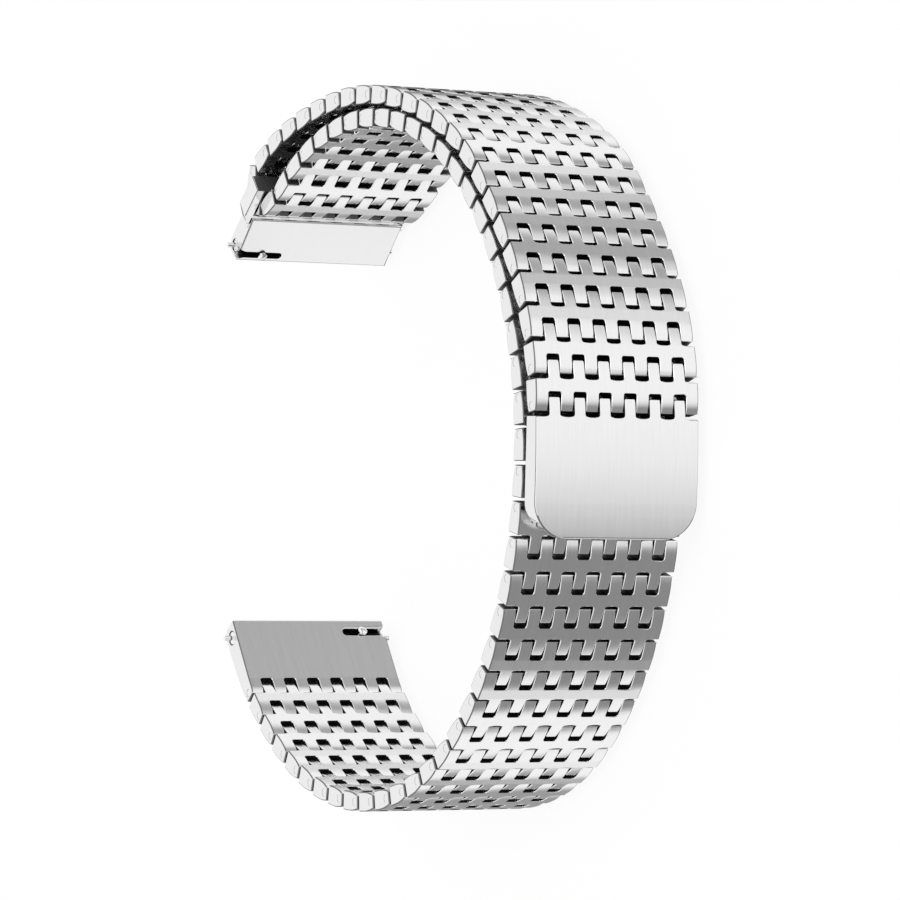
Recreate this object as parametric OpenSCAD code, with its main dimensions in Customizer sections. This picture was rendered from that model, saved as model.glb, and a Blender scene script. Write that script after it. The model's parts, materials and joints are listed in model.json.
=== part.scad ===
// Magnetic watch band of small steel links, closed to a loop and lying on its edge.
// The strap starts at the lower end piece, runs round the wrist, passes through the frame
// of the upper end piece, folds back over itself and ends in a magnetic clasp plate.
// X and Y are the plane of the loop, Z is the width of the strap, all sizes in millimetres.

/* [Strap] */
// Width of the strap across the links
band_width = 20; // [16:0.5:26]
// Distance from one pin to the next
pitch = 3.9; // [3.4:0.05:5]
// Thickness of a link plate
link_thick = 2.2; // [1.8:0.05:3]
// Width of each of the seven fingers that hold a pin
finger_wide = 1.52; // [1.2:0.01:1.9]
// Side play between a finger and the slot that it turns in
finger_play = 0.09; // [0.05:0.01:0.2]
// Reach of the seven fingers past their pin
head_reach = 0.78; // [0.5:0.01:0.9]
// Reach of the six fingers past the pin that they turn on
tail_reach = 0.9; // [0.6:0.01:1]
// From the turning pin to the bottom of the slots
tail_slot = 1.2; // [1.15:0.01:1.5]
// From the held pin to the bottom of the slots
head_slot = 1.45; // [1.3:0.01:1.6]

/* [Pins] */
// Radius of a link pin
pin_r = 0.45; // [0.3:0.01:0.6]
// Radial play of a pin in the fingers that hold it
held_play = 0.01; // [0.01:0.005:0.03]
// Radial play of a pin in the fingers that turn on it
turn_play = 0.05; // [0.03:0.01:0.1]
// Depth of a pin end below the edge of the strap
pin_sink = 0.05; // [0:0.01:0.3]

/* [Loop] */
// X of the first pin
start_x = -30.96; // [-45:0.01:-20]
// Y of the first pin
start_y = -29.26; // [-45:0.01:-10]
// Direction of the lower end piece, degrees from +X
start_angle = -51; // [-80:0.5:-20]
// Bend in degrees at each hinge of the inner layer: [number of hinges, bend]
inner_bends = [[1, 11.1], [3, 5.1], [3, 6], [4, 5.4], [4, 6.5], [4, 5.7], [4, 5.2], [4, 5.7],
    [2, 6], [2, 5.7], [3, 6], [4, 6.1], [4, 5.5], [3, 6.5], [1, -8.5]];
// Bend in degrees at each of the three hinges of the fold
fold_bends = [[1, -36.4], [1, -87.5], [1, -51.1]];
// Bend in degrees at each hinge of the outer layer: [number of hinges, bend]
outer_bends = [[2, -6.6], [3, -3.4], [4, -4.3], [4, -4.7], [2, -8.5], [2, -2.8], [2, -4.7],
    [2, -7.8], [1, -8.5], [1, -6.5]];

/* [Lower end piece] */
// Length from the first pin to the lug end
low_long = 9.7; // [8:0.1:14]
// Thickness near the lug end
low_thick = 2.5; // [2.2:0.05:3.2]

/* [Upper end piece] */
// Turn of the frame from the last link of the inner layer, in degrees
frame_turn = 15; // [10:0.5:20]
// From the inner layer to the middle of the fold
fold_rise = 3.16; // [3.1:0.02:3.3]
// Radius of the cross bar that the fold turns round
bar_r = 1.3; // [1.1:0.05:1.35]
// Half height of the arms and the cross bar on the wrist side
bar_half = 1.05; // [0.9:0.05:1.2]
// From the middle of the fold to the lug block
block_start = 5.75; // [5.7:0.05:6]
// From the middle of the fold to the lip of the lug block on the wrist side
block_lip = 4.85; // [4.8:0.05:5.5]
// From the middle of the fold to the end of the full width of the arms
arm_end = 4.4; // [4.2:0.1:4.8]
// From the middle of the fold to the lug end
block_end = 11.5; // [10:0.1:14]
// Half thickness of the lug block
block_half = 1.2; // [1.1:0.05:1.5]
// Play between the strap and each arm of the frame
arm_play = 0.15; // [0.1:0.01:0.4]
// Thickness of each arm of the frame
arm_thick = 1; // [0.7:0.05:1.5]

/* [Spring bars] */
// From the end of the lug block to the middle of its spring bar
up_bar_in = 1.15; // [1.05:0.05:1.5]
// From the end of the lower end piece to the middle of its spring bar
low_bar_in = 1.7; // [1.5:0.05:3]
// Radius of the bore for a spring bar
bore_r = 0.8; // [0.7:0.01:0.9]
// Outside radius of the tube
tube_r = 0.75; // [0.6:0.01:0.85]
// Inside radius of the tube
tube_in = 0.56; // [0.5:0.01:0.62]
// Radius of the tips
tip_r = 0.3; // [0.25:0.01:0.4]
// Reach of each tip past the edge of the strap
tip_out = 1; // [0.8:0.1:1.5]
// Distance of the knob from the edge of the strap
knob_in = 3.1; // [2.5:0.1:4]
// Radius of the knob
knob_r = 0.58; // [0.5:0.01:0.7]
// Width of the slot that the knob slides in
slot_wide = 0.95; // [0.9:0.05:1.2]
// Length of the slot from the edge of the strap
slot_long = 5.7; // [5.5:0.1:7]

/* [Clasp] */
// From the last pin to the free end of the clasp
clasp_long = 14.1; // [10:0.1:20]
// Rise of the front of the clasp in its middle
clasp_bow = 0.2; // [0:0.05:0.4]
// Thickness of the clasp behind the middle of the last pin
clasp_back = 1.1; // [1:0.05:1.2]
// Radius of the two free corners
clasp_corner = 4; // [1:0.1:6]
// Thickness of the back cover
cover_thick = 0.4; // [0.3:0.05:0.6]
// Thickness of the magnets
magnet_thick = 1; // [0.6:0.05:1.2]
// Play round the magnets and the cover
clasp_play = 0.05; // [0.03:0.01:0.1]

/* [Hidden] */
$fn = 48;
half_w = band_width / 2;
half_t = link_thick / 2;
mid_z = half_w + max(tip_out, arm_play + arm_thick);
gap_wide = (band_width - 7 * finger_wide) / 6;
step_wide = finger_wide + gap_wide;
tail_wide = gap_wide - 2 * finger_play;
edge_cut = finger_wide + finger_play;

function spread(runs) = [for (r = runs) for (k = [1 : r[0]]) r[1]];
bends = concat(spread(inner_bends), spread(fold_bends), spread(outer_bends));
inner_links = len(spread(inner_bends));
fold_links = 2;
links = len(bends) - 1;
outer_links = links - inner_links - fold_links;
function headings(i, h) = i > len(bends) ? [] : concat([h], headings(i + 1, h + (i < len(bends) ? bends[i] : 0)));
head = headings(0, start_angle);
function walk(i, p) = i > links ? [p] : concat([p], walk(i + 1, p + pitch * [cos(head[i]), sin(head[i])]));
pins = walk(1, [start_x, start_y]);

frame_head = head[inner_links] + frame_turn;
fold_dir = [cos(frame_head), sin(frame_head)];
fold_out = [fold_dir[1], -fold_dir[0]];
fold_mid = pins[inner_links - 1] + fold_dir * pitch / 2 + fold_out * fold_rise;

head_tip = [[0.34, -half_t], [head_reach, -0.84], [0.45, half_t - 0.05], [0.34, half_t]];
tail_tip = [[0.15 - tail_reach, half_t], [-tail_reach, half_t - 0.15],
    [-tail_reach, 0.15 - half_t], [0.15 - tail_reach, -half_t]];
function shift(pts, x) = [for (p = pts) [p[0] + x, p[1]]];

// Inner parts of each spring bar, along its own axis from the edge with the fixed tip
tube_end = band_width - 0.1;
spring_from = 4.1;
plunger_from = 12;
knob_at = band_width - knob_in;
knob_stem = 0.3;
knob_high = 0.45;
slot_flare = 0.3;
spring_wire = 0.18;
spring_mid = tube_in - 0.05 - spring_wire / 2;
spring_turns = 8;
spring_long = plunger_from - 0.05 - spring_from;
low_bar = low_long - low_bar_in;
low_bar_y = 0.2;
up_bar = block_end - up_bar_in;
up_bar_y = 0.15;
frame_half = half_w + arm_play + arm_thick;

function pad(n) = n < 10 ? str("0", n) : str(n);
function pair(n) = str(pad(n), "_", pad(n + 1));
single_inner = 22;
inner_singles = [for (n = [1 : single_inner]) n];
inner_pairs = [for (n = [single_inner + 1 : 2 : inner_links - 1]) n];
outer_pairs = [for (n = [2 : 2 : outer_links - 3]) n];
outer_singles = [1, outer_links - 1, outer_links];

// Puts a piece on pin p, turned to the direction a
module on_pin(p, a) {
    translate([p[0], p[1], mid_z]) rotate([0, 0, a]) children();
}

// Slots that leave the seven fingers, cut from x0 to x1
module head_slots(x0, x1) {
    for (k = [0 : 5])
        translate([x0, -3, -half_w + finger_wide + k * step_wide]) cube([x1 - x0, 6, gap_wide]);
}

// Slots and edge cuts that leave the six fingers, cut from x0 to x1
module tail_slots(x0, x1) {
    for (k = [1 : 5])
        translate([x0, -3, -half_w + k * step_wide - finger_play]) cube([x1 - x0, 6, finger_wide + 2 * finger_play]);
    for (s = [-1, 1])
        translate([x0, -3, s * (half_w - edge_cut / 2 + 1) - edge_cut / 2 - 1]) cube([x1 - x0, 6, edge_cut + 2]);
}

module bore(r) {
    translate([0, 0, -band_width]) cylinder(r = r, h = 2 * band_width);
}

module pin() {
    translate([0, 0, -half_w + pin_sink]) cylinder(r = pin_r, h = band_width - 2 * pin_sink);
}

module link_plate() {
    difference() {
        translate([0, 0, -half_w]) linear_extrude(band_width) polygon(concat(shift(head_tip, pitch), tail_tip));
        tail_slots(-2, tail_slot);
        head_slots(pitch - head_slot, pitch + 2);
        bore(pin_r + turn_play);
        translate([pitch, 0, 0]) bore(pin_r + held_play);
    }
}

// Link plate and its pin, number i along the whole strap
module link(i) {
    on_pin(pins[i - 1], head[i]) {
        link_plate();
        translate([pitch, 0, 0]) pin();
    }
}

module knob_slot(y0, y1) {
    z0 = band_width - slot_long;
    r = slot_wide / 2;
    rotate([-90, 0, 0]) mirror([0, 1, 0]) translate([0, 0, y0]) linear_extrude(y1 - y0) {
        translate([0, z0 + r]) circle(r = r);
        translate([-r, z0 + r]) square([2 * r, slot_long]);
        polygon([[-r, band_width - 0.8], [r, band_width - 0.8], [r + slot_flare, band_width],
            [r + slot_flare, band_width + 1], [-r - slot_flare, band_width + 1], [-r - slot_flare, band_width]]);
    }
}

// Bore for a spring bar with the slot for its knob, open to the edge at Z = band_width
module bar_room() {
    translate([0, 0, -2]) cylinder(r = bore_r, h = band_width + 4);
    knob_slot(0, 4);
}

module bar_tube() {
    difference() {
        union() {
            translate([0, 0, 0.1]) cylinder(r = tube_r, h = tube_end - 0.1);
            translate([0, 0, -tip_out]) cylinder(r = tip_r, h = tip_out + 1);
        }
        cylinder_from(tube_in, spring_from - 0.05, tube_end + 1);
        knob_in_tube();
    }
}

module cylinder_from(r, z0, z1) {
    translate([0, 0, z0]) cylinder(r = r, h = z1 - z0);
}

// Slit of the tube that the stem of the knob slides in
module knob_in_tube() {
    r = knob_stem + 0.08;
    rotate([-90, 0, 0]) mirror([0, 1, 0]) linear_extrude(2) {
        translate([0, knob_at - tip_out - 0.15]) circle(r = r);
        translate([-r, knob_at - tip_out - 0.15]) square([2 * r, tip_out + 0.2]);
        translate([0, knob_at + 0.05]) circle(r = r);
    }
}

// Plunger with its knob, whose head starts knob_low over the axis of the bar
module bar_plunger(knob_low) {
    cylinder_from(tube_in - 0.05, plunger_from, tube_end);
    cylinder_from(tip_r, tube_end - 0.2, band_width + tip_out);
    translate([0, 0, knob_at]) rotate([-90, 0, 0]) {
        cylinder(r = knob_stem, h = knob_low + 0.2);
        rotate_extrude() intersection() {
            translate([0, knob_low]) square([knob_r, knob_high]);
            translate([0, knob_low + knob_high - 0.8]) circle(r = 0.8);
        }
    }
}

module bar_spring() {
    wide = 130;
    arc = 4;
    translate([0, 0, spring_from])
        linear_extrude(height = spring_long, twist = -360 * spring_turns, slices = 12 * spring_turns, $fn = 10)
            polygon(concat([for (k = [0 : arc]) (spring_mid - spring_wire / 2) * [cos(k * wide / arc), sin(k * wide / arc)]],
                [for (k = [arc : -1 : 0]) (spring_mid + spring_wire / 2) * [cos(k * wide / arc), sin(k * wide / arc)]]));
}

// Lower spring bar: its knob is on the edge at Z = 0 of the strap
module at_low_bar() {
    on_pin(pins[0], head[0]) translate([-low_bar, low_bar_y, half_w]) mirror([0, 0, 1]) children();
}

// Upper spring bar: its knob is on the other edge
module at_up_bar() {
    on_pin(fold_mid, frame_head) translate([up_bar, up_bar_y, -half_w]) children();
}

module lower_end_piece() {
    color("silver") difference() {
        on_pin(pins[0], head[0]) difference() {
            translate([0, 0, -half_w]) linear_extrude(band_width) polygon(concat(head_tip,
                [[-2, 1.12], [-5, low_thick / 2], [0.5 - low_long, 1.6], [-0.05 - low_long, 1.3],
                [-low_long, -0.45], [0.9 - low_long, 0.3 - low_thick / 2 - 0.15], [-6.5, -low_thick / 2],
                [-3.5, -low_thick / 2 + 0.02], [-1, -half_t - 0.04]]));
            head_slots(-head_slot, 2);
            bore(pin_r + held_play);
        }
        at_low_bar() bar_room();
    }
    color("silver") on_pin(pins[0], head[0]) pin();
}

taper_end = block_start + 0.85;
arm_shape = [[0, -bar_r], [0, bar_half], [arm_end, bar_half], [arm_end + 0.1, bar_half - 0.1],
    [taper_end, bar_half - 0.1], [taper_end, -block_half], [arm_end - 0.1, -bar_r]];
block_shape = [[block_start, -block_half], [block_start + 3, -block_half - 0.08],
    [block_end - 0.9, -block_half + 0.05], [block_end, -0.45], [block_end - 0.1, 1.65],
    [block_end - 0.45, 1.75], [block_lip, block_half], [block_lip, block_half - 0.25], [block_start, -0.3]];

// Width of the frame from above: full over the arms, then down to the width of the strap
module frame_taper() {
    rotate([90, 0, 0]) translate([0, 0, -4]) linear_extrude(8) polygon([[-3, -frame_half], [arm_end, -frame_half],
        [taper_end, -half_w], [taper_end, half_w], [arm_end, frame_half], [-3, frame_half]]);
}

module upper_end_piece() {
    color("silver") difference() {
        on_pin(fold_mid, frame_head) union() {
            intersection() {
                translate([0, 0, -frame_half]) cylinder(r = bar_r, h = 2 * frame_half);
                translate([0, bar_half - 4, -20]) cube([4, 4, 40]);
            }
            translate([0, 0, -half_w]) linear_extrude(band_width) polygon(block_shape);
            intersection() {
                union() {
                    for (s = [-1, 1])
                        translate([0, 0, s * (frame_half - arm_thick / 2) - arm_thick / 2])
                            linear_extrude(arm_thick) polygon(arm_shape);
                    translate([block_start, -1, -frame_half]) cube([0.75, 2, 2 * frame_half]);
                }
                frame_taper();
            }
        }
        at_up_bar() bar_room();
    }
}

module lower_bar_tube() { color("darkgray") at_low_bar() bar_tube(); }
module lower_bar_plunger() { color("gray") at_low_bar() bar_plunger(1.4); }
module lower_bar_spring() { color("dimgray") at_low_bar() bar_spring(); }
module upper_bar_tube() { color("darkgray") at_up_bar() bar_tube(); }
module upper_bar_plunger() { color("gray") at_up_bar() bar_plunger(1.67); }
module upper_bar_spring() { color("dimgray") at_up_bar() bar_spring(); }

// Pieces of the clasp, from the last pin
magnet_pitch = 5.7;
magnet_wide = 4.9;
magnet_from = 2.9;
magnet_long = 7.6;
cover_from = 2.3;
cover_long = 8.8;
cover_half = 9;
cover_deep = cover_thick + clasp_play;
pocket_deep = cover_deep + magnet_thick + clasp_play;

module at_clasp() {
    on_pin(pins[links], head[links + 1]) children();
}

module clasp_outline() {
    c = clasp_corner;
    translate([c - 2, -half_w]) square([clasp_long - 2 * c + 2, band_width]);
    translate([-2, -half_w]) square([c, band_width]);
    translate([clasp_long - c - 1, -half_w + c]) square([c + 1, band_width - 2 * c]);
    for (s = [-1, 1]) translate([clasp_long - c, s * (half_w - c)]) circle(r = c);
}

// Front of the clasp at x: flush with the links at both ends, raised between
function clasp_top(x) = half_t + clasp_bow * 4 * (x - tail_slot) * (clasp_long - x) / pow(clasp_long - tail_slot, 2);
clasp_steps = 8;
clasp_line = [for (k = [clasp_steps : -1 : 0])
    let (x = tail_slot + 0.15 + (clasp_long - 0.5 - tail_slot) * k / clasp_steps) [x, clasp_top(x)]];

module clasp_plate() {
    color("silver") at_clasp() difference() {
        intersection() {
            translate([0, 0, -half_w]) linear_extrude(band_width) polygon(concat(
                [[tail_slot + 0.15, -half_t], [clasp_long - 3, -clasp_back], [clasp_long, 0.15],
                [clasp_long, half_t - 0.3]], clasp_line, tail_tip));
            rotate([90, 0, 0]) translate([0, 0, -3]) linear_extrude(6) clasp_outline();
        }
        tail_slots(-2, tail_slot);
        bore(pin_r + turn_play);
        translate([cover_from, -clasp_back - 1, -cover_half]) cube([cover_long, cover_deep + 1, 2 * cover_half]);
        for (k = [-1 : 1])
            translate([magnet_from, -clasp_back - 1, k * magnet_pitch - magnet_wide / 2])
                cube([magnet_long, pocket_deep + 1, magnet_wide]);
    }
}

module clasp_back_cover() {
    color("silver") at_clasp()
        translate([cover_from + clasp_play, -clasp_back, -cover_half + clasp_play])
            cube([cover_long - 2 * clasp_play, cover_thick, 2 * cover_half - 2 * clasp_play]);
}

module clasp_magnets() {
    color("dimgray") at_clasp() for (k = [-1 : 1])
        translate([magnet_from + clasp_play, cover_deep - clasp_back, k * magnet_pitch - magnet_wide / 2 + clasp_play])
            cube([magnet_long - 2 * clasp_play, magnet_thick, magnet_wide - 2 * clasp_play]);
}

lower_end_piece();
upper_end_piece();
clasp_plate();
clasp_back_cover();
clasp_magnets();
lower_bar_tube();
lower_bar_plunger();
lower_bar_spring();
upper_bar_tube();
upper_bar_plunger();
upper_bar_spring();
for (n = inner_singles)
    color("silver") link(n);
for (n = inner_pairs)
    color("silver") {
        link(n);
        link(n + 1);
    }
for (n = [1 : fold_links])
    color("silver") link(inner_links + n);
for (n = outer_singles)
    color("silver") link(inner_links + fold_links + n);
for (n = outer_pairs)
    color("silver") {
        link(inner_links + fold_links + n);
        link(inner_links + fold_links + n + 1);
    }
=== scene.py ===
"""Looks of the steel link band: links, pins, end pieces, clasp, spring bars and the photo stage."""
import json
import math
import bmesh
import bpy
from bpy.props import FloatProperty, FloatVectorProperty, IntProperty, PointerProperty
from mathutils import Matrix, Vector


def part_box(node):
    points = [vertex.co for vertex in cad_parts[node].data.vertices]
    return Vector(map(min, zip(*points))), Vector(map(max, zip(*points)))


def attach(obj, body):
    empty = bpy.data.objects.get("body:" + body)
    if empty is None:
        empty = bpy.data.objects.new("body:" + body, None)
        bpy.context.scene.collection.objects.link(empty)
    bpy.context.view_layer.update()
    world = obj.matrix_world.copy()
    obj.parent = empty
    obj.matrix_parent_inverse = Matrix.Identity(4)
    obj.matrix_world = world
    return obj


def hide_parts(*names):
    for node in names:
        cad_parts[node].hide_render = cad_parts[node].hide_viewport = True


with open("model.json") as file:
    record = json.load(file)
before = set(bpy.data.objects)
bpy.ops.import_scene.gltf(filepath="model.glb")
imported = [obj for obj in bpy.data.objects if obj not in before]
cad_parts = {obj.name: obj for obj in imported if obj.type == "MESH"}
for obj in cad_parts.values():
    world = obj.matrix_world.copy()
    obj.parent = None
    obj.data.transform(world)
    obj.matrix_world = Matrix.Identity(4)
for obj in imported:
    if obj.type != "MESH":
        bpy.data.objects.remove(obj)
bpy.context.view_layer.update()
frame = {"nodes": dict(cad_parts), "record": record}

bl_info = {
    "name": "Steel link band",
    "version": (1, 0, 0),
    "blender": (4, 5, 0),
    "location": "View3D > Sidebar > Band",
    "description": "Builds the links, end pieces, clasp and finishes of a steel watch band",
    "category": "Object",
}

MM = 0.001
NODES = frame["nodes"]

# How the strap lies: bends in degrees at the hinges, as runs of (number of hinges, bend)
START_PIN = (-30.96, -29.26)
START_ANGLE = -51.0
INNER_BENDS = ((1, 11.1), (3, 5.1), (3, 6), (4, 5.4), (4, 6.5), (4, 5.7), (4, 5.2), (4, 5.7),
               (2, 6), (2, 5.7), (3, 6), (4, 6.1), (4, 5.5), (3, 6.5), (1, -8.5))
FOLD_BENDS = ((1, -36.4), (1, -87.5), (1, -51.1))
OUTER_BENDS = ((2, -6.6), (3, -3.4), (4, -4.3), (4, -4.7), (2, -8.5), (2, -2.8), (2, -4.7),
               (2, -7.8), (1, -8.5), (1, -6.5))
INNER_SINGLE = 22
FOLD_LINKS = 2
FRAME_TURN = 15.0
MID_Z = 11.15

# Lower end piece, in mm: (x from the lug end, height) near the lug, (x, height) from its pin
LUG_TOP = ((0, 1.52), (0.15, 1.6))
LUG_UNDER = ((0, -0.45), (0.35, -0.85), (0.9, -1.1))
TOP_LEVEL_AT = -1.5
UNDERSIDE = ((-6.5, -1.25), (-3.5, -1.23), (-1.0, -1.14))
LOWER_BAR_HIGH = 0.2
SLOT_FLARE = 0.3
SLOT_MOUTH = 0.8

# Clasp, in mm: middle and size of the room for its cover, and how its underside rises at the end
COVER_ROOM = ((6.7, -1.65, 0), (8.8, 2.0, 18.0))
CLASP_RISE = 3
CLASP_LIP = 0.15

# Where a plate is cut across, so that its crowned faces bend there, in mm
TAIL_CUTS = [k * 0.2 for k in range(-4, 6)]
HEAD_CUT_STEP = 0.24
LOWER_CUT_STEP = 0.2
CLASP_CUTS = [2.0, 3.2, 4.4, 5.6, 6.8, 8.0, 9.2, 10.4, 11.1, 11.8, 12.6, 13.3]
CUT_APART = 0.1
CORNER_APART = 0.05

# Degrees over which an edge is rounded, and over which it stays sharp when the mesh is shaded
ROUND_ANGLE = 32.0
SHARP_ANGLE = 50.0

# Small forms, in mm: corners of the side gaps and of the lug end, the rings round the pin ends,
# how far the pin ends lie under the flat sides, and their own edge. LEAN is the share of its
# reach by which a head finger is shorter on the outside.
SIDE_ROUND = 0.15
LUG_ROUND = 0.3
RING_DEEP = 0.05
PIN_SUNK = 0.02
PIN_EDGE = 0.02
LEAN = 0.2

# How dark and dull these get, from 0 to 1: the rims of the flat sides (a painted dark reflection)
# and the end walls of the gaps and the ends of the lower bore (painted shade). A facet whose
# middle is less than NEAR from a surface, in mm, belongs to it.
RIM_PAINTED_DARK = 0.8
GAP_PAINTED_SHADE = 0.85
BORE_END_PAINTED_SHADE = 0.3
NEAR = 0.03

# Noise in the brushed faces: strokes to the mm along and across, and its step from row to row
FINE_STROKES = (0.22, 14.0, 3.7)
BROAD_STROKES = (0.1, 1.7, 1.3)
GRAIN_SCALE = 1500.0

# Camera in mm and radians, and the lamp in metres and watts
CAMERA_AT = (475.91, -2.85, 263.11)
CAMERA_TURN = (0.0111, 1.0838, 0.0097)
CAMERA_LENS = 189.07
LAMP_AT = (0.25, 0.1, 0.7)
LAMP_SIZE = 0.5
LAMP_POWER = 1.2

# The tent as the steel sees it, and its grey cards: azimuth, degrees to the card's full grey and
# to its end, and how grey it is. A card reaches up to the level of CARD_TOP.
TENT_WHITE = 1.12
GREY_CARDS = ((68, 0, 34, 0.34), (77, 4, 18, 0.34), (-41, 23, 42, 0.82), (-165, 31, 52, 0.75),
              (148, 0, 30, 0.3))
CARD_TOP = 0.1
FLOOR_SIZE = 3.0
FLOOR_WHITE = 0.9


def spread(runs):
    return [bend for count, bend in runs for _ in range(count)]


INNER_LINKS = len(spread(INNER_BENDS))
OUTER_LINKS = len(spread(OUTER_BENDS))


def walk(pitch):
    """Pins of the strap and the direction of each link, in mm and degrees."""
    bends = spread(INNER_BENDS) + spread(FOLD_BENDS) + spread(OUTER_BENDS)
    heads = [START_ANGLE]
    for bend in bends:
        heads.append(heads[-1] + bend)
    pins = [Vector(START_PIN)]
    for head in heads[1:-1]:
        step = Vector((math.cos(math.radians(head)), math.sin(math.radians(head))))
        pins.append(pins[-1] + step * pitch)
    return pins, heads


# Sizes and finishes that a user would change

def length(name, text, value):
    return FloatProperty(name=name, description=text, default=value * MM, min=0.0,
                         unit="LENGTH", precision=5)


def tint(name, text, value):
    return FloatVectorProperty(name=name, description=text, subtype="COLOR", size=3, default=value)


def share(name, text, value):
    return FloatProperty(name=name, description=text, default=value, min=0.0, max=1.0,
                         subtype="FACTOR")


class BandSizes(bpy.types.PropertyGroup):
    pitch: length("Pitch", "Distance from pin to pin", 3.9)
    width: length("Width", "Width of the strap across the links", 20.0)
    thick: length("Thickness", "Thickness of a link plate", 2.2)
    finger: length("Finger", "Width of each of the seven fingers that hold a pin", 1.52)
    play: length("Play", "Side play between a finger and its slot", 0.09)
    head_reach: length("Head reach", "Reach of the seven fingers past their pin", 0.78)
    tail_reach: length("Tail reach", "Reach of the six fingers past their pin", 0.98)
    head_slot: length("Head slot", "From the held pin to the bottom of the slots", 1.45)
    tail_slot: length("Tail slot", "From the turning pin to the bottom of the slots", 1.1)
    slot_round: length("Slot corner", "Radius of the corners at the bottom of a slot", 0.3)
    tip_round: length("Tip corner", "Radius of the corners of a finger tip", 0.24)
    head_crown: length("Head crown", "How far a head finger falls off towards its tip", 0.36)
    tail_crown: length("Tail crown", "How far a tail finger falls off towards its tip", 0.28)
    crown_start: length("Crown start", "From a pin to where the face starts to fall off", 1.5)
    edge: length("Edge", "Width of the polished edge round every face", 0.11)
    pin_radius: length("Pin", "Radius of a link pin", 0.45)
    pin_ring: length("Pin ring", "Gap round a pin end in the side of a link", 0.03)
    low_long: length("Lower end piece", "From its pin to the lug end", 9.7)
    bar_in: length("Bar place", "From the lug end to the lower spring bar", 1.7)
    bar_room: length("Bar bore", "Radius of the bore for a spring bar", 0.8)
    knob_wide: length("Knob slot", "Width of the slot that the knob slides in", 0.95)
    knob_long: length("Knob slot length", "Length of that slot from the strap's edge", 5.7)
    frame_long: length("Upper end piece", "From the cross bar to the upper spring bar", 10.35)
    frame_high: length("Upper bar height", "Height of the spring bar over the cross bar", 0.15)
    arm_long: length("Arm", "From the cross bar to the end of the open window", 4.4)
    arm_out: length("Arm side", "How far the arms stand out beside the strap", 1.15)
    plate_round: length("Plate edge", "Rounding of the long edges of the upper plate", 0.2)
    clasp_bow: length("Clasp bow", "Rise of the front of the clasp in its middle", 0.2)
    clasp_long: length("Clasp", "From the last pin to the free end", 14.1)
    clasp_round: length("Clasp corner", "Radius of the two free corners", 4.0)
    steps: IntProperty(name="Corner steps", description="Facets in each rounded corner",
                       default=4, min=1, max=12)


class BandFinish(bpy.types.PropertyGroup):
    steel: tint("Steel", "Colour of the polished and brushed steel", (0.80, 0.80, 0.805))
    # The slot colour is painted shade: the near black that marked slots, gaps, bores and rims take
    # on.
    slot: tint("Slot wall", "Colour of the dull walls inside the slots", (0.02, 0.02, 0.021))
    brushed: share("Brushed roughness", "Roughness of the brushed faces", 0.2)
    polished: share("Polished roughness", "Roughness of the polished edges", 0.1)
    lines: share("Brush lines", "How strongly the brush lines show", 0.12)
    # The flat sides are darkened as painted shade by this share.
    side_painted_shade: share("Side grey", "How much greyer the flat sides are than the faces", 0.08)
    floor: tint("Floor", "Colour of the studio floor", (0.9, 0.9, 0.9))
    card: share("Grey cards", "How dark the grey cards beside the band are", 1.0)


def own_keys(group):
    """Names of the properties that this file gives a group."""
    return [key for key in group.bl_rna.properties.keys() if key not in ("rna_type", "name")]


def sizes():
    """Sizes in mm, as plain numbers."""
    group = bpy.context.scene.band_sizes
    values = {}
    for key in own_keys(group):
        value = getattr(group, key)
        values[key] = value if isinstance(value, int) else value / MM
    return values


# Shader maths

class Sock:
    """A shader socket with arithmetic."""

    def __init__(self, tree, out):
        self.tree = tree
        self.out = out

    def _math(self, operation, first, second):
        return node(self.tree, "ShaderNodeMath", {"operation": operation},
                    {0: first, 1: second})[0]

    def __add__(self, other):
        return self._math("ADD", self, other)

    def __radd__(self, other):
        return self._math("ADD", other, self)

    def __sub__(self, other):
        return self._math("SUBTRACT", self, other)

    def __rsub__(self, other):
        return self._math("SUBTRACT", other, self)

    def __mul__(self, other):
        return self._math("MULTIPLY", self, other)

    def __rmul__(self, other):
        return self._math("MULTIPLY", other, self)


def node(tree, kind, settings, inputs):
    """Adds a node, settings first, then its inputs, and returns its outputs as sockets."""
    made = tree.nodes.new(kind)
    for key, value in settings.items():
        setattr(made, key, value)
    for key, value in inputs.items():
        if isinstance(value, Sock):
            tree.links.new(value.out, made.inputs[key])
        else:
            made.inputs[key].default_value = value
    return [Sock(tree, out) for out in made.outputs]


def smooth(tree, value, low, high, end=1.0):
    """Goes smoothly from 0 at low to end at high."""
    return node(tree, "ShaderNodeMapRange", {"interpolation_type": "SMOOTHSTEP"},
                {"Value": value, "From Min": low, "From Max": high, "To Min": 0.0,
                 "To Max": end})[0]


def noise(tree, spot, scale, **more):
    return node(tree, "ShaderNodeTexNoise", {"noise_dimensions": "3D"},
                {"Vector": spot, "Scale": scale, **more})[0]


def fill(tree, socket, value):
    """Links a socket or sets it; a plain colour gets its alpha."""
    if isinstance(value, Sock):
        tree.links.new(value.out, socket)
    elif socket.type == "RGBA":
        socket.default_value = (*value, 1.0)
    else:
        socket.default_value = value


def mix_colour(tree, factor, first, second):
    made = tree.nodes.new("ShaderNodeMix")
    made.data_type = "RGBA"
    for place, value in ((0, factor), (6, first), (7, second)):
        fill(tree, made.inputs[place], value)
    return Sock(tree, made.outputs[2])


def principled(tree, values):
    made = tree.nodes.new("ShaderNodeBsdfPrincipled")
    for key, value in values.items():
        fill(tree, made.inputs[key], value)
    out = tree.nodes.new("ShaderNodeOutputMaterial")
    tree.links.new(made.outputs[0], out.inputs[0])


def fresh_material(name):
    material = bpy.data.materials.new(name)
    material.use_nodes = True
    material.node_tree.nodes.clear()
    return material, material.node_tree


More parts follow.
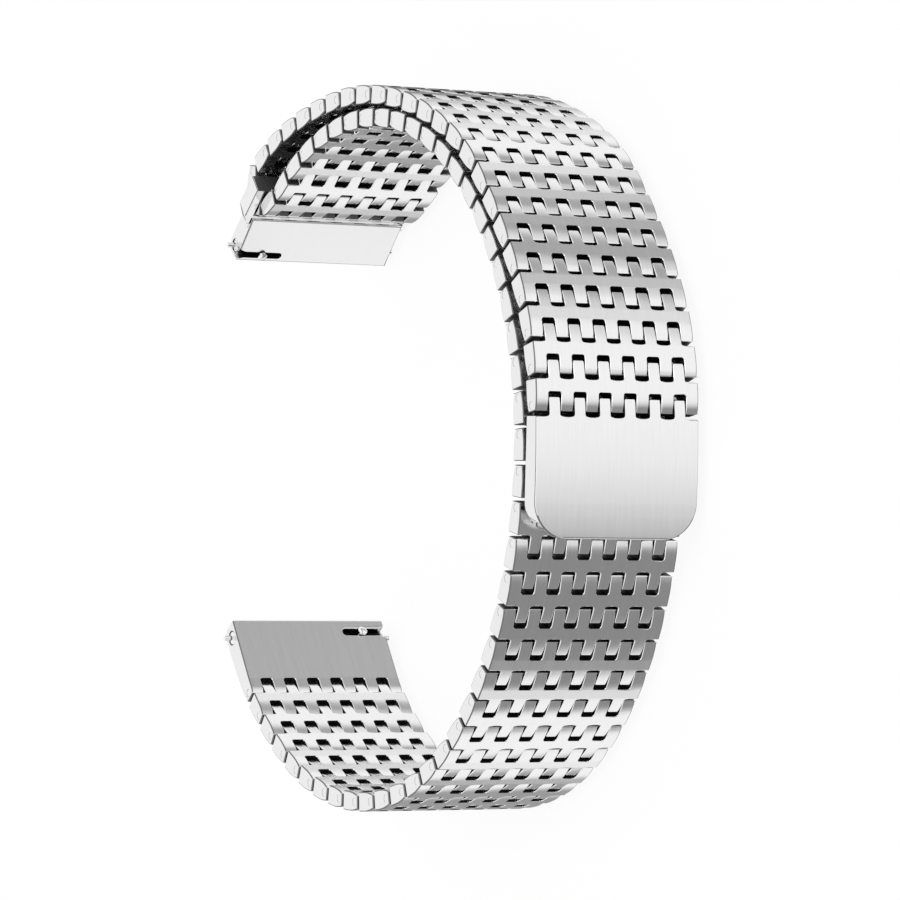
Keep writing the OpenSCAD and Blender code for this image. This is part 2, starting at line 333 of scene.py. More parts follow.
def brushed_steel(name, lines_scale=1.0):
    """Steel brushed along the strap on its faces, polished sides, painted shade in its slots."""
    finish = bpy.context.scene.band_finish
    material, tree = fresh_material(name)
    uv = node(tree, "ShaderNodeUVMap", {"uv_map": "brush"}, {})[0]
    wall, side, row = (node(tree, "ShaderNodeAttribute", {"attribute_name": mark}, {})[2]
                       for mark in ("wall", "side", "row"))
    spot = node(tree, "ShaderNodeSeparateXYZ", {}, {0: uv})

    def strokes(by, **more):
        way = node(tree, "ShaderNodeCombineXYZ", {},
                   {0: spot[0] * by[0], 1: spot[1] * by[1], 2: row * by[2]})[0]
        return noise(tree, way, 1.0, **more)

    fine = strokes(FINE_STROKES, Detail=2.0, Roughness=0.6)
    broad = strokes(BROAD_STROKES, Detail=1.0, Roughness=0.5)
    face = (1.0 - side) * (1.0 - wall)
    lines = finish.lines * lines_scale
    tone = (fine - 0.5) * lines + (broad - 0.5) * (lines * 0.5)
    tone = tone * face + 1.0
    # Painted shade: the flat sides are made a little darker than the faces.
    tone = tone * (1.0 - side * finish.side_painted_shade)
    level = node(tree, "ShaderNodeCombineXYZ", {}, {0: tone, 1: tone, 2: tone})[0]
    steel = node(tree, "ShaderNodeVectorMath", {"operation": "MULTIPLY"},
                 {0: level, 1: tuple(finish.steel)})[0]
    # Painted shade: marked slots, gaps and bores go near black, and rims take a painted dark
    # reflection.
    colour = mix_colour(tree, wall, steel, tuple(finish.slot))
    brushed = (finish.brushed + (broad - 0.5) * 0.06) * face
    rough = brushed + (1.0 - face) * finish.polished + wall * 0.5
    bump = node(tree, "ShaderNodeBump", {},
                {"Strength": 0.25, "Distance": 0.004 * MM, "Height": fine * face})[0]
    principled(tree, {"Base Color": colour, "Metallic": 1.0, "Roughness": rough, "Normal": bump})
    return material


def bright_steel(name, rough, inside=0.0):
    """Polished steel with painted shade, dark and dull, nearer than inside to the strap's middle.
    """
    finish = bpy.context.scene.band_finish
    material, tree = fresh_material(name)
    spot = node(tree, "ShaderNodeTexCoord", {}, {})[3]
    grain = noise(tree, spot, GRAIN_SCALE, Detail=3.0)
    # Painted shade: dark and dull where the part lies inside the strap
    painted_inner_shade = 0.0
    if inside:
        height = node(tree, "ShaderNodeSeparateXYZ", {}, {0: spot})[2]
        off = node(tree, "ShaderNodeMath", {"operation": "ABSOLUTE"}, {0: height - MID_Z * MM})[0]
        painted_inner_shade = smooth(tree, off, inside * MM, (inside - 0.2) * MM)
    colour = mix_colour(tree, painted_inner_shade, tuple(finish.steel), tuple(finish.slot))
    roughness = (grain - 0.5) * 0.08 + painted_inner_shade * 0.5 + rough
    principled(tree, {"Base Color": colour, "Metallic": 1.0, "Roughness": roughness})
    return material


# Mesh helpers. Shapes are made in mm: X along the strap, Y out of the face, Z across.

def rounded(corners, steps):
    """Outline with its corners rounded; corners are (x, z, radius)."""
    outline = []
    for i, (x, z, radius) in enumerate(corners):
        here = Vector((x, z))
        back = Vector(corners[i - 1][:2]) - here
        ahead = Vector(corners[(i + 1) % len(corners)][:2]) - here
        radius = min(radius, 0.49 * back.length, 0.49 * ahead.length)
        if radius < 0.01:
            outline.append((x, z))
            continue
        start = here + back.normalized() * radius
        end = here + ahead.normalized() * radius
        centre = start + end - here
        first = math.atan2((start - centre).y, (start - centre).x)
        turn = math.atan2((end - centre).y, (end - centre).x) - first
        turn = (turn + math.pi) % (2 * math.pi) - math.pi
        for k in range(steps + 1):
            angle = first + turn * k / steps
            outline.append((centre.x + radius * math.cos(angle),
                            centre.y + radius * math.sin(angle)))
    return outline


def tail_corners(s):
    """Corners of the six fingers at the start of a plate, from -Z to +Z."""
    half = s["width"] / 2
    gap = (s["width"] - 7 * s["finger"]) / 6
    slot, reach = s["tail_slot"], -s["tail_reach"]
    corners = [(slot, -half, SIDE_ROUND)]
    for k in range(6):
        low = -half + s["finger"] + k * (s["finger"] + gap) + s["play"]
        high = low + gap - 2 * s["play"]
        corners += [(slot, low, s["slot_round"]), (reach, low, s["tip_round"]),
                    (reach, high, s["tip_round"]), (slot, high, s["slot_round"])]
    corners.append((slot, half, SIDE_ROUND))
    return corners


def head_corners(s, at):
    """Corners of the seven fingers round the pin at x = at, from +Z to -Z."""
    half = s["width"] / 2
    gap = (s["width"] - 7 * s["finger"]) / 6
    slot, reach = at - s["head_slot"], at + s["head_reach"]
    corners = []
    for k in range(7):
        high = half - k * (s["finger"] + gap)
        low = high - s["finger"]
        if k:
            corners.append((slot, high, s["slot_round"]))
        corners += [(reach, high, s["tip_round"]), (reach, low, s["tip_round"])]
        if k < 6:
            corners.append((slot, low, s["slot_round"]))
    return corners


def drawn_out(outline, low, high):
    """A closed shape with the outline in X and Z, from y = low to y = high."""
    bm = bmesh.new()
    face = bm.faces.new([bm.verts.new((x, low, z)) for x, z in outline])
    grown = bmesh.ops.extrude_face_region(bm, geom=[face])
    for item in grown["geom"]:
        if isinstance(item, bmesh.types.BMVert):
            item.co.y = high
    return bm


def plate_mesh(outline, cuts, top, bottom, shear=None, z_cuts=()):
    """A plate with the given outline; top(x) and bottom(x) give its two faces."""
    bm = drawn_out(outline, -1.0, 1.0)
    corners = sorted({round(x, 3) for x, z in outline})
    marks = [x for x in cuts if all(abs(x - other) > CUT_APART for other in corners)]
    marks += [x for before, x in zip([-1e9] + corners, corners) if x - before > CORNER_APART]
    planes = [((x, 0, 0), (1, 0, 0)) for x in sorted(marks)]
    planes += [((0, 0, z), (0, 0, 1)) for z in z_cuts]
    for spot, normal in planes:
        bmesh.ops.bisect_plane(bm, geom=bm.verts[:] + bm.edges[:] + bm.faces[:], dist=0.0005,
                               plane_co=spot, plane_no=normal)
    for vert in bm.verts:
        x = vert.co.x
        vert.co.y = top(x) if vert.co.y > 0 else bottom(x)
        if shear:
            vert.co.x = shear(x, vert.co.y)
    bmesh.ops.recalc_face_normals(bm, faces=bm.faces[:])
    return bm


def rod_mesh(x, y, radius, low, high, sides=24):
    """A rod along Z."""
    bm = bmesh.new()
    spin = Matrix.Translation((x, y, (low + high) / 2))
    bmesh.ops.create_cone(bm, cap_ends=True, segments=sides, radius1=radius, radius2=radius,
                          depth=high - low, matrix=spin)
    return bm


def object_from(bm, name):
    mesh = bpy.data.meshes.new(name)
    bm.to_mesh(mesh)
    bm.free()
    made = bpy.data.objects.new(name, mesh)
    bpy.context.scene.collection.objects.link(made)
    return made


def settled(made):
    """Puts the evaluated mesh in place of the modifiers."""
    bpy.context.view_layer.update()
    graph = bpy.context.evaluated_depsgraph_get()
    mesh = bpy.data.meshes.new_from_object(made.evaluated_get(graph))
    made.modifiers.clear()
    old = made.data
    made.data = mesh
    mesh.name = made.name
    bpy.data.meshes.remove(old)
    return made


def cut_away(made, cutters):
    for cutter in cutters:
        change = made.modifiers.new("cut", "BOOLEAN")
        change.operation = "DIFFERENCE"
        change.solver = "EXACT"
        change.object = cutter
    settled(made)
    for cutter in cutters:
        bpy.data.objects.remove(cutter)


def soften(made, width, clamp=False):
    """Rounds the sharp edges and keeps the flats flat."""
    change = made.modifiers.new("edges", "BEVEL")
    change.width = width
    change.segments = 2
    change.limit_method = "ANGLE"
    change.angle_limit = math.radians(ROUND_ANGLE)
    change.miter_outer = "MITER_ARC"
    change.use_clamp_overlap = clamp
    settled(made)


def rounded_edges(bm, width, chosen):
    """Rounds the chosen edges where the mesh turns sharply outwards."""
    edges = [edge for edge in bm.edges if edge.is_manifold and edge.is_convex
             and edge.calc_face_angle() > math.radians(ROUND_ANGLE) and chosen(edge)]
    bmesh.ops.bevel(bm, geom=edges, offset=width, segments=4, profile=0.5, affect="EDGES",
                    clamp_overlap=False)


def pin_rooms(s, x):
    """Cutters for the shallow rings round the two ends of a pin."""
    radius = s["pin_radius"] + s["pin_ring"]
    return [object_from(rod_mesh(x, 0, radius, side - RING_DEEP, side + RING_DEEP), "pin_room")
            for side in (-s["width"] / 2, s["width"] / 2)]


def marked(made, wall_of, is_side, along=None):
    """Writes the brush UV and the marks that the finish reads: painted shade (0 to 1) and side."""
    mesh = made.data
    uv = mesh.uv_layers.new(name="brush")
    for loop in mesh.loops:
        spot = mesh.vertices[loop.vertex_index].co
        uv.data[loop.index].uv = (spot.dot(along) if along else spot.x, spot.z)
    wall = mesh.attributes.new("wall", "FLOAT", "FACE")
    side = mesh.attributes.new("side", "FLOAT", "FACE")
    for poly in mesh.polygons:
        shade_amount = wall_of(poly)
        wall.data[poly.index].value = shade_amount
        side.data[poly.index].value = 1.0 if shade_amount == 0.0 and is_side(poly) else 0.0
    return made


def slants(part, poly, largest=0.8):
    """True for a narrow facet of a bevel, from one part of its normal."""
    return 0.2 < abs(part) < 0.97 and poly.area < largest


def on_rim(poly, half, edge):
    """True on the narrow bevels round a flat side at z = half or z = -half."""
    return abs(poly.center.z) > half - edge and slants(poly.normal.z, poly)


def faces_out(poly):
    return abs(poly.normal.z) > 0.7


def shaded(made):
    """Smooth shading that keeps the flats flat: the larger faces set the normals."""
    made.data.shade_smooth()
    made.data.set_sharp_from_angle(angle=math.radians(SHARP_ANGLE))
    change = made.modifiers.new("normals", "WEIGHTED_NORMAL")
    change.mode = "FACE_AREA"
    change.keep_sharp = True
    return settled(made)


def scaled(made):
    """Turns a shape from mm to metres."""
    made.data.transform(Matrix.Scale(MM, 4))
    return made


def placed(made, pin, head):
    """Turns a shape from strap sizes in mm to its place in metres."""
    turn = Matrix.Rotation(math.radians(head), 4, "Z")
    shift = Matrix.Translation((pin[0] * MM, pin[1] * MM, MID_Z * MM))
    made.data.transform(shift @ turn @ Matrix.Scale(MM, 4))
    return made


def dress(piece, finish):
    piece.data.materials.clear()
    piece.data.materials.append(finish)


def leaned(x, y):
    """Reach x of a head finger past its pin at height y: a little shorter on the outside."""
    return x * (1.0 - LEAN * (0.5 + 0.5 * max(-1.0, min(1.0, y)))) if x > 0 else x


def fall(x, start, end, depth):
    """How far a crowned face has fallen at x, from nothing at start to depth at end."""
    t = (x - start) / (end - start)
    return depth * t * t if t > 0 else 0.0


def tail_fall(s, x):
    """The same for the face of a tail finger, whose pin is at x = 0."""
    return fall(-x, -s["crown_start"], s["tail_reach"], s["tail_crown"])


def line_through(points):
    """A function of x that runs straight from each (x, y) point to the next."""
    points = sorted(points)

    def value(x):
        if x <= points[0][0]:
            return points[0][1]
        for (x0, y0), (x1, y1) in zip(points, points[1:]):
            if x <= x1:
                t = (x - x0) / (x1 - x0)
                return y0 + (y1 - y0) * t
        return points[-1][1]

    return value


# Link and pin, and the node tree that sets them along the strap

def link_shape(s):
    """A link plate with the pin that it turns on at x = 0 and the pin that it holds at pitch."""
    half = s["thick"] / 2
    half_w = s["width"] / 2
    pitch = s["pitch"]
    crown_at = pitch - s["crown_start"]

    def top(x):
        return half - fall(x, crown_at, pitch + s["head_reach"], s["head_crown"]) - tail_fall(s, x)

    def bottom(x):
        return -top(x)

    def shear(x, y):
        return pitch + leaned(x - pitch, y)

    # Painted shade on slot and gap walls, a painted dark reflection on the rims
    def wall_of(poly):
        spot, normal = poly.center, poly.normal
        if on_rim(poly, half_w, s["edge"]):
            return RIM_PAINTED_DARK
        if abs(normal.y) > 0.3 or abs(spot.z) > half_w - NEAR:
            return 0.0
        if abs(spot.z) > half_w - s["finger"] - s["play"] / 2:
            return GAP_PAINTED_SHADE if abs(normal.x) > 0.6 or spot.z * normal.z < 0 else 0.0
        return 1.0 if -0.7 < spot.x < pitch + 0.4 else GAP_PAINTED_SHADE

    outline = rounded(tail_corners(s) + head_corners(s, pitch), s["steps"])
    cuts = TAIL_CUTS + [crown_at + k * HEAD_CUT_STEP for k in range(8)]
    made = object_from(plate_mesh(outline, cuts, top, bottom, shear), "link_shape")
    soften(made, s["edge"])
    cut_away(made, pin_rooms(s, pitch))
    marked(made, wall_of, faces_out)
    return shaded(made)


def pin_shape(s, name):
    """A link pin; its ends stand out of the shallow rings cut by pin_rooms."""
    reach = s["width"] / 2 - PIN_SUNK
    made = object_from(rod_mesh(0, 0, s["pin_radius"], -reach, reach), name)
    soften(made, PIN_EDGE)
    # Painted shade: the pin is near black but for its ends
    marked(made, lambda poly: 0.0 if abs(poly.center.z) > reach - 0.2 else 1.0, faces_out)
    return shaded(made)


def strap_tree():
    """Sets a link plate and its pin on every point, turned by the point's own direction."""
    tree = bpy.data.node_groups.new("Strap row", "GeometryNodeTree")
    for name, kind in (("Points", "Geometry"), ("Link plate", "Object"), ("Link pin", "Object"),
                       ("Pitch", "Float"), ("Finish", "Material")):
        tree.interface.new_socket(name, in_out="INPUT", socket_type="NodeSocket" + kind)
    tree.interface.new_socket("Strap", in_out="OUTPUT", socket_type="NodeSocketGeometry")
    way_in = tree.nodes.new("NodeGroupInput")
    way_out = tree.nodes.new("NodeGroupOutput")
    wires = tree.links

    def add(kind, **settings):
        made = tree.nodes.new(kind)
        for key, value in settings.items():
            setattr(made, key, value)
        return made

    turn = add("GeometryNodeInputNamedAttribute", data_type="FLOAT")
    turn.inputs["Name"].default_value = "turn"
    row = add("GeometryNodeInputNamedAttribute", data_type="FLOAT")
    row.inputs["Name"].default_value = "row"
    aim = add("ShaderNodeCombineXYZ")
    wires.new(turn.outputs["Attribute"], aim.inputs["Z"])
    reach = add("ShaderNodeCombineXYZ")
    wires.new(way_in.outputs["Pitch"], reach.inputs["X"])
    rows = []
    for name in ("Link plate", "Link pin"):
        info = add("GeometryNodeObjectInfo")
        wires.new(way_in.outputs[name], info.inputs["Object"])
        put = add("GeometryNodeInstanceOnPoints")
        wires.new(way_in.outputs["Points"], put.inputs["Points"])
        wires.new(info.outputs["Geometry"], put.inputs["Instance"])
        wires.new(aim.outputs[0], put.inputs["Rotation"])
        rows.append(put.outputs[0])
    slide = add("GeometryNodeTranslateInstances")
    wires.new(rows[1], slide.inputs["Instances"])
    wires.new(reach.outputs[0], slide.inputs["Translation"])
    join = add("GeometryNodeJoinGeometry")
    wires.new(slide.outputs[0], join.inputs[0])
    wires.new(rows[0], join.inputs[0])
    keep = add("GeometryNodeStoreNamedAttribute", data_type="FLOAT", domain="INSTANCE")
    keep.inputs["Name"].default_value = "row"
    wires.new(join.outputs[0], keep.inputs["Geometry"])
    wires.new(row.outputs["Attribute"], keep.inputs["Value"])
    real = add("GeometryNodeRealizeInstances")
    wires.new(keep.outputs[0], real.inputs[0])
    paint = add("GeometryNodeSetMaterial")
    wires.new(real.outputs[0], paint.inputs["Geometry"])
    wires.new(way_in.outputs["Finish"], paint.inputs["Material"])
    wires.new(paint.outputs[0], way_out.inputs[0])
    return tree


def strap_piece(name, tree, numbers, pins, heads, given):
    """One mesh with the links of the given numbers; given holds the tree's named inputs."""
    mesh = bpy.data.meshes.new(name)
    spots = [(pins[n - 1].x * MM, pins[n - 1].y * MM, MID_Z * MM) for n in numbers]
    mesh.from_pydata(spots, [], [])
    turn = mesh.attributes.new("turn", "FLOAT", "POINT")
    row = mesh.attributes.new("row", "FLOAT", "POINT")
    for k, n in enumerate(numbers):
        turn.data[k].value = math.radians(heads[n])
        row.data[k].value = float(n)
    made = bpy.data.objects.new(name, mesh)
    bpy.context.scene.collection.objects.link(made)
    change = made.modifiers.new("strap", "NODES")
    change.node_group = tree
    for item in tree.interface.items_tree:
        if item.in_out == "INPUT" and item.name in given:
            change[item.identifier] = given[item.name]
    return settled(made)


def strap_names():
    """Node name of each piece of strap, with its link numbers."""
    pieces = {}
    for n in range(1, INNER_SINGLE + 1):
        pieces["inner_link_%02d" % n] = [n]
    for n in range(INNER_SINGLE + 1, INNER_LINKS, 2):
        pieces["inner_links_%02d_%02d" % (n, n + 1)] = [n, n + 1]
    for n in range(1, FOLD_LINKS + 1):
        pieces["fold_link_%d" % n] = [INNER_LINKS + n]
    first = INNER_LINKS + FOLD_LINKS
    for n in (1, OUTER_LINKS - 1, OUTER_LINKS):
        pieces["outer_link_%02d" % n] = [first + n]
    for n in range(2, OUTER_LINKS - 2, 2):
        pieces["outer_links_%02d_%02d" % (n, n + 1)] = [first + n, first + n + 1]
    return pieces


def body_of(name):
    for body, names in frame["record"]["behaviour"]["bodies"].items():
        if name in names:
            return body
    raise RuntimeError("no body holds " + name)


class BAND_OT_strap(bpy.types.Operator):
    """Sets the link plates and their pins along the strap, one mesh for each body"""
    bl_idname = "band.strap"
    bl_label = "Strap links"

    def execute(self, context):
        s = sizes()
        pins, heads = walk(s["pitch"])
        plate = scaled(link_shape(s))
        pin = scaled(pin_shape(s, "pin_shape"))
        given = {"Link plate": plate, "Link pin": pin, "Pitch": s["pitch"] * MM,
                 "Finish": brushed_steel("steel links")}
        tree = strap_tree()
        for name, numbers in strap_names().items():
            made = strap_piece(name + "_plate", tree, numbers, pins, heads, given)
            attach(made, body_of(name))
            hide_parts(name)
        bpy.data.objects.remove(plate)
        bpy.data.objects.remove(pin)
        return {"FINISHED"}


# End pieces, clasp and spring bars

def knob_slot_cutter(s, x):
    """Cutter for the lower knob slot: flared at the edge of the strap, round at its inner end."""
    half_w = s["width"] / 2
    radius = s["knob_wide"] / 2
    centre = s["knob_long"] - half_w - radius
    outline = []
    for k in range(13):
        angle = math.pi * k / 12
        outline.append((x - radius * math.cos(angle), centre + radius * math.sin(angle)))
    wide = radius + SLOT_FLARE
    outline += [(x + radius, SLOT_MOUTH - half_w), (x + wide, -half_w), (x + wide, -half_w - 1),
                (x - wide, -half_w - 1), (x - wide, -half_w), (x - radius, SLOT_MOUTH - half_w)]
    bm = drawn_out(outline, LOWER_BAR_HIGH, 3.0)
    bmesh.ops.recalc_face_normals(bm, faces=bm.faces[:])
    return object_from(bm, "knob_slot")


class BAND_OT_end_pieces(bpy.types.Operator):
    """Makes the lower end piece and the frame of the upper end piece"""
    bl_idname = "band.end_pieces"
    bl_label = "End pieces"

    def execute(self, context):
        s = sizes()
        pins, heads = walk(s["pitch"])
        finish = brushed_steel("steel end pieces", 0.8)
        self.lower(s, pins, heads, finish)
        self.upper(s, heads, finish)
        return {"FINISHED"}

    def lower(self, s, pins, heads, finish):
        """A plate with seven fingers; its pin is at x = 0 and the lug end at x = far."""
        half_w = s["width"] / 2
        half_t = s["thick"] / 2
        far = -s["low_long"]
        bar = far + s["bar_in"]
        tip = s["head_reach"]
        slot_end = s["knob_long"] - half_w
        top_line = line_through([(far + x, y) for x, y in LUG_TOP] + [(TOP_LEVEL_AT, half_t)])
        low_line = line_through([(far + x, y) for x, y in LUG_UNDER] + list(UNDERSIDE)
                                + [(0, -half_t)])

        def top(x):
            return top_line(x) - fall(x, -0.3, tip, s["head_crown"] * 0.6)

        def bottom(x):
            return low_line(x) + fall(x, -s["crown_start"], tip, s["head_crown"])

        # Painted shade in the bore and slots, a painted dark reflection on the rims
        def wall_of(poly):
            spot, normal = poly.center, poly.normal
            if on_rim(poly, half_w, s["edge"]):
                return RIM_PAINTED_DARK
            if abs(spot.z) > half_w - NEAR:
                return 0.0
            from_bar = Vector((spot.x - bar, spot.y - LOWER_BAR_HIGH)).length
            if from_bar < s["bar_room"] + NEAR:
                return 1.0 if abs(spot.z) < half_w - 0.3 else BORE_END_PAINTED_SHADE
            if abs(normal.y) < 0.3:
                if abs(spot.x - bar) < 0.6 and spot.z < slot_end + 0.1:
                    return 1.0
                if spot.x > -s["head_slot"] - 0.1:
                    return 1.0 if spot.x < 0.4 else GAP_PAINTED_SHADE
            return 0.0

        corners = [(far, -half_w, LUG_ROUND), (far, half_w, LUG_ROUND)] + head_corners(s, 0.0)
        beside = s["knob_wide"] / 2 + 0.15
        cuts = [far + x for x, y in LUG_TOP[1:] + LUG_UNDER[1:]] + [bar - beside, bar + beside]
        cuts += [x for x, y in UNDERSIDE[:2]]
        cuts += [TOP_LEVEL_AT + k * LOWER_CUT_STEP for k in range(11)]
        plate = plate_mesh(rounded(corners, s["steps"]), cuts, top, bottom, leaned,
                           (slot_end + 0.2,))
        made = object_from(plate, "lower_end_shape")
        bore = rod_mesh(bar, LOWER_BAR_HIGH, s["bar_room"], -half_w - 1, half_w + 1, 32)
        cut_away(made, [object_from(bore, "bar_room"), knob_slot_cutter(s, bar)])
        soften(made, s["edge"])
        cut_away(made, pin_rooms(s, 0))
        marked(made, wall_of, faces_out)
        shaded(made)
        placed(made, pins[0], heads[0])
        pin = placed(pin_shape(s, "lower_pin_shape"), pins[0], heads[0])
        for piece, name in ((made, "lower_end_plate"), (pin, "lower_end_pin")):
            piece.name = name
            dress(piece, finish)
            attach(piece, "lower_end")
        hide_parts("lower_end_piece")

    def upper(self, s, heads, finish):
        """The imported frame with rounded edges; x, y, z run along, out of and across the strap."""
        head = math.radians(heads[INNER_LINKS] + FRAME_TURN)
        along = Vector((math.cos(head), math.sin(head), 0))
        lift = Vector((-along.y, along.x, 0))
        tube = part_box("upper_bar_tube")
        axis = (tube[0] + tube[1]) / 2 / MM
        axis.z = MID_Z
        cross_bar = axis - along * s["frame_long"] - lift * s["frame_high"]
        half_w = s["width"] / 2
        arm_side = half_w + s["arm_out"]

        def local(spot):
            off = spot - cross_bar
            return off.dot(along), off.dot(lift), abs(off.z)

        def ends(edge):
            return [local(vert.co) for vert in edge.verts]

        def on_plate(edge):
            return edge.calc_length() > 1.0 and all(
                x > s["arm_long"] and y > 1.1 and abs(z - half_w) < 0.02 for x, y, z in ends(edge))

        def on_arm(edge):
            return all(abs(z - arm_side) < 0.02 for x, y, z in ends(edge))

        # Painted shade in the bore and round the cross bar, a painted dark reflection on the side
        # rims
        def wall_of(poly):
            x, y, z = local(poly.center)
            within = z < half_w - 0.1
            from_bar = math.hypot(x - s["frame_long"], y - s["frame_high"])
            if from_bar < s["bar_room"] + NEAR and within:
                return 1.0
            if x < 1.5 and z < half_w + 0.1:
                return GAP_PAINTED_SHADE
            upright = abs(poly.normal.dot(lift)) < 0.5
            if abs(x - s["frame_long"]) < 0.6 and upright and 0 < y < 1.6 and within:
                return 1.0
            near_side = min(abs(z - half_w + 0.06), abs(z - arm_side + 0.06)) < 0.09
            return RIM_PAINTED_DARK if near_side and slants(poly.normal.z, poly) else 0.0

        bm = bmesh.new()
        bm.from_mesh(NODES["upper_end_piece"].data)
        bmesh.ops.scale(bm, vec=(1 / MM, 1 / MM, 1 / MM), verts=bm.verts[:])
        bmesh.ops.remove_doubles(bm, verts=bm.verts[:], dist=0.002)
        bmesh.ops.dissolve_limit(bm, angle_limit=math.radians(0.5), verts=bm.verts[:],
                                 edges=bm.edges[:])
        rounded_edges(bm, s["plate_round"], on_plate)
        rounded_edges(bm, s["edge"] * 1.2, on_arm)
        made = object_from(bm, "upper_end_frame")
        soften(made, s["edge"], clamp=True)
        marked(made, wall_of, faces_out, along)
        shaded(made)
        scaled(made)
        dress(made, finish)
        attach(made, "upper_end")
        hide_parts("upper_end_piece")


class BAND_OT_clasp(bpy.types.Operator):
    """Makes the clasp plate and finishes its cover and magnets"""
    bl_idname = "band.clasp"
    bl_label = "Magnetic clasp"

    def execute(self, context):
        s = sizes()
        pins, heads = walk(s["pitch"])
        half_w = s["width"] / 2
        half_t = s["thick"] / 2
        end = s["clasp_long"]
        start = s["tail_slot"]
        low_line = line_through([(start, -half_t), (end - CLASP_RISE, -half_t), (end, CLASP_LIP)])

        def top(x):
            t = max(0.0, min(1.0, (x - start) / (end - start)))
            return half_t + s["clasp_bow"] * 4 * t * (1 - t) - tail_fall(s, x)

        def bottom(x):
            return low_line(x) + tail_fall(s, x)

        def is_side(poly):
            return abs(poly.normal.y) < 0.4

        # Painted shade on the finger slot walls, a painted dark reflection on the bevels round the
        # face
        def wall_of(poly):
            spot, normal = poly.center, poly.normal
            if spot.x > start + 0.1:
                level = abs(normal.x) + abs(normal.z) > 0.5
                return RIM_PAINTED_DARK if level and slants(normal.y, poly, 0.6) else 0.0
            return 1.0 if abs(normal.y) < 0.5 and abs(spot.z) < half_w - 0.05 else 0.0

        plate = plate_mesh(self.outline(s), TAIL_CUTS + CLASP_CUTS, top, bottom)
        made = object_from(plate, "clasp_shape")
        middle, size = COVER_ROOM
        bm = bmesh.new()
        bmesh.ops.create_cube(bm, size=1.0,
                              matrix=Matrix.Translation(middle) @ Matrix.Diagonal((*size, 1.0)))
        cut_away(made, [object_from(bm, "cover_room")])
        soften(made, s["edge"] * 1.3)
        marked(made, wall_of, is_side)
        shaded(made)
        placed(made, pins[-1], heads[-1])
        made.name = "clasp_front"
        dress(made, brushed_steel("steel clasp", 1.1))
        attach(made, "clasp")
        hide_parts("clasp_plate")
        for name, rough in (("clasp_back_cover", 0.3), ("clasp_magnets", 0.2)):
            dress(NODES[name], bright_steel(name.replace("_", " "), rough))
        return {"FINISHED"}

    def outline(self, s):
        """The two free corners get more facets than the finger corners."""
        end, half_w, radius = s["clasp_long"], s["width"] / 2, s["clasp_round"]
        corners = tail_corners(s) + [(end, half_w, 0.0), (end, -half_w, 0.0)]
        fingers = rounded(corners, s["steps"])[:-2]
        arcs = []
        for side, first in ((1, 90), (-1, 0)):
            for k in range(13):
                angle = math.radians(first - 90 * k / 12)
                arcs.append((end - radius + radius * math.cos(angle),
                             side * (half_w - radius) + radius * math.sin(angle)))
        return fingers + arcs


class BAND_OT_spring_bars(bpy.types.Operator):
    """Finishes the tubes, plungers and springs of both spring bars"""
    bl_idname = "band.spring_bars"
    bl_label = "Spring bars"

    def execute(self, context):
        polished = bright_steel("polished bar", 0.12)
        # The tube gets painted shade, near black, where it lies inside the strap
        tube = bright_steel("polished bar tube", 0.12, sizes()["width"] / 2 - 0.3)
        wire = bright_steel("spring wire", 0.25)
        for end in ("lower", "upper"):
            dress(NODES[end + "_bar_tube"], tube)
            dress(NODES[end + "_bar_plunger"], polished)
            dress(NODES[end + "_bar_spring"], wire)
        return {"FINISHED"}


# Stage

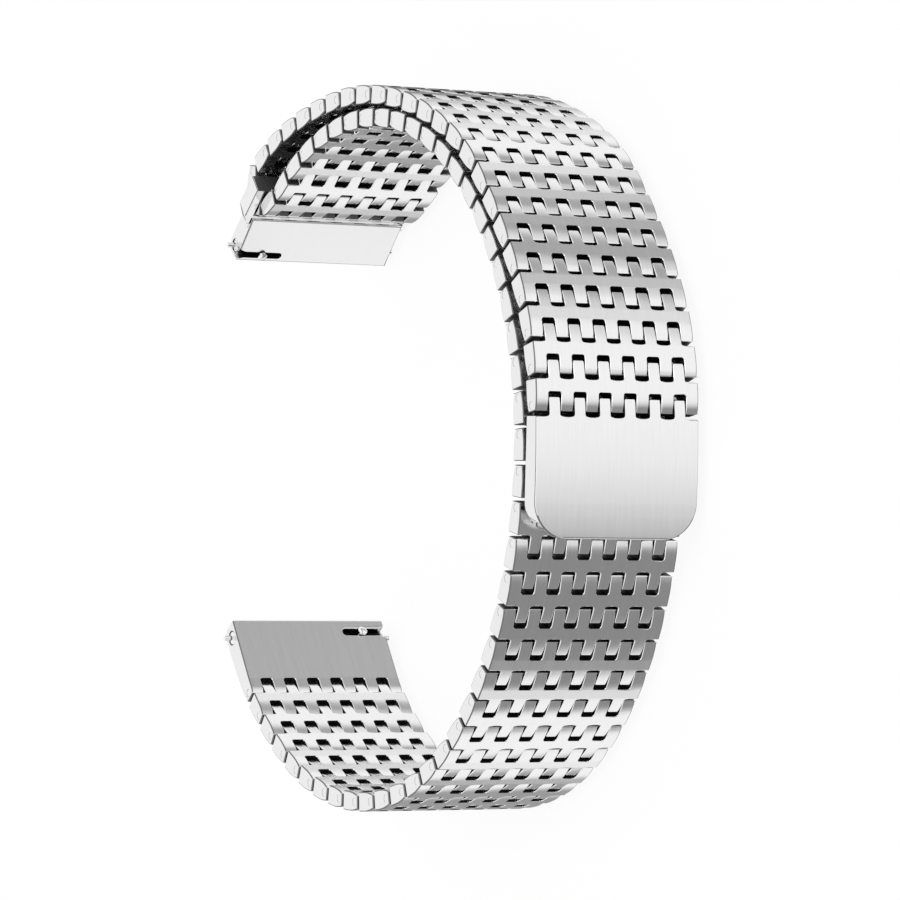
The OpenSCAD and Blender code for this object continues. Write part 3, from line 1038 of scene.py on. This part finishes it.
class BAND_OT_stage(bpy.types.Operator):
    """Sets the floor, the soft studio light and the camera of the photo"""
    bl_idname = "band.stage"
    bl_label = "Photo stage"

    def execute(self, context):
        self.camera()
        self.floor()
        self.world()
        self.lamp()
        return {"FINISHED"}

    def camera(self):
        lens = bpy.data.cameras.new("photo camera")
        lens.sensor_width = 36.0
        lens.lens = CAMERA_LENS
        lens.clip_start = 0.01
        lens.clip_end = 20.0
        view = bpy.data.objects.new("photo camera", lens)
        view.location = [part * MM for part in CAMERA_AT]
        view.rotation_mode = "ZYX"
        view.rotation_euler = CAMERA_TURN
        bpy.context.scene.collection.objects.link(view)
        bpy.context.scene.camera = view

    def floor(self):
        """A pale floor that the camera sees nearly white and the steel doesn't see."""
        finish = bpy.context.scene.band_finish
        bm = bmesh.new()
        bmesh.ops.create_grid(bm, x_segments=2, y_segments=2, size=FLOOR_SIZE)
        made = object_from(bm, "studio_floor")
        material, tree = fresh_material("studio floor")
        path = node(tree, "ShaderNodeLightPath", {}, {})
        matt = node(tree, "ShaderNodeBsdfDiffuse", {}, {"Color": (*finish.floor, 1.0)})[0]
        white = node(tree, "ShaderNodeEmission", {}, {"Color": (1, 1, 1, 1), "Strength": 1.0})[0]
        clear = node(tree, "ShaderNodeBsdfTransparent", {}, {})[0]
        seen = node(tree, "ShaderNodeMixShader", {},
                    {0: path[0] * FLOOR_WHITE, 1: matt, 2: white})[0]
        whole = node(tree, "ShaderNodeMixShader", {}, {0: path[3], 1: seen, 2: clear})[0]
        out = tree.nodes.new("ShaderNodeOutputMaterial")
        tree.links.new(whole.out, out.inputs[0])
        made.data.materials.append(material)

    def world(self):
        """A white tent with grey cards, seen only in the steel."""
        finish = bpy.context.scene.band_finish
        world = bpy.data.worlds.new("white tent")
        bpy.context.scene.world = world
        world.use_nodes = True
        tree = world.node_tree
        tree.nodes.clear()
        path = node(tree, "ShaderNodeLightPath", {}, {})
        way = node(tree, "ShaderNodeTexCoord", {}, {})[0]
        flat = node(tree, "ShaderNodeVectorMath", {"operation": "MULTIPLY"},
                    {0: way, 1: (1, 1, 0)})[0]
        level = node(tree, "ShaderNodeVectorMath", {"operation": "NORMALIZE"}, {0: flat})[0]
        height = node(tree, "ShaderNodeSeparateXYZ", {}, {0: way})[2]
        shade = None
        for azimuth, core, reach, depth in GREY_CARDS:
            aim = (math.cos(math.radians(azimuth)), math.sin(math.radians(azimuth)), 0)
            near = node(tree, "ShaderNodeVectorMath", {"operation": "DOT_PRODUCT"},
                        {0: level, 1: aim})[1]
            card = smooth(tree, near, math.cos(math.radians(reach)), math.cos(math.radians(core)),
                          depth)
            shade = card if shade is None else shade + card
        low = smooth(tree, height, CARD_TOP, -CARD_TOP)
        glossy = TENT_WHITE - shade * low * finish.card
        strength = path[3] * glossy + (1.0 - path[3]) * 1.0
        back = node(tree, "ShaderNodeBackground", {},
                    {"Color": (1, 1, 1, 1), "Strength": strength})[0]
        out = tree.nodes.new("ShaderNodeOutputWorld")
        tree.links.new(back.out, out.inputs[0])

    def lamp(self):
        lamp = bpy.data.lights.new("soft box", "AREA")
        lamp.shape = "DISK"
        lamp.size = LAMP_SIZE
        lamp.energy = LAMP_POWER
        made = bpy.data.objects.new("soft box", lamp)
        made.location = LAMP_AT
        made.rotation_euler = Vector(LAMP_AT).to_track_quat("Z", "Y").to_euler()
        bpy.context.scene.collection.objects.link(made)


class BAND_PT_panel(bpy.types.Panel):
    """Sizes, finishes and steps of the band"""
    bl_idname = "BAND_PT_panel"
    bl_label = "Steel link band"
    bl_space_type = "VIEW_3D"
    bl_region_type = "UI"
    bl_category = "Band"

    def draw(self, context):
        for group in (context.scene.band_sizes, context.scene.band_finish):
            box = self.layout.box()
            for key in own_keys(group):
                box.prop(group, key)
        for step in STEPS:
            self.layout.operator(step.bl_idname)


STEPS = (BAND_OT_stage, BAND_OT_strap, BAND_OT_end_pieces, BAND_OT_clasp, BAND_OT_spring_bars)
CLASSES = (BandSizes, BandFinish) + STEPS + (BAND_PT_panel,)


def register():
    for cls in CLASSES:
        bpy.utils.register_class(cls)
    bpy.types.Scene.band_sizes = PointerProperty(type=BandSizes)
    bpy.types.Scene.band_finish = PointerProperty(type=BandFinish)


def unregister():
    del bpy.types.Scene.band_finish
    del bpy.types.Scene.band_sizes
    for cls in reversed(CLASSES):
        bpy.utils.unregister_class(cls)


def main():
    register()
    bpy.context.scene.view_settings.view_transform = "Standard"
    bpy.ops.band.stage()
    bpy.ops.band.strap()
    bpy.ops.band.end_pieces()
    bpy.ops.band.clasp()
    bpy.ops.band.spring_bars()


if __name__ == "__main__":
    main()
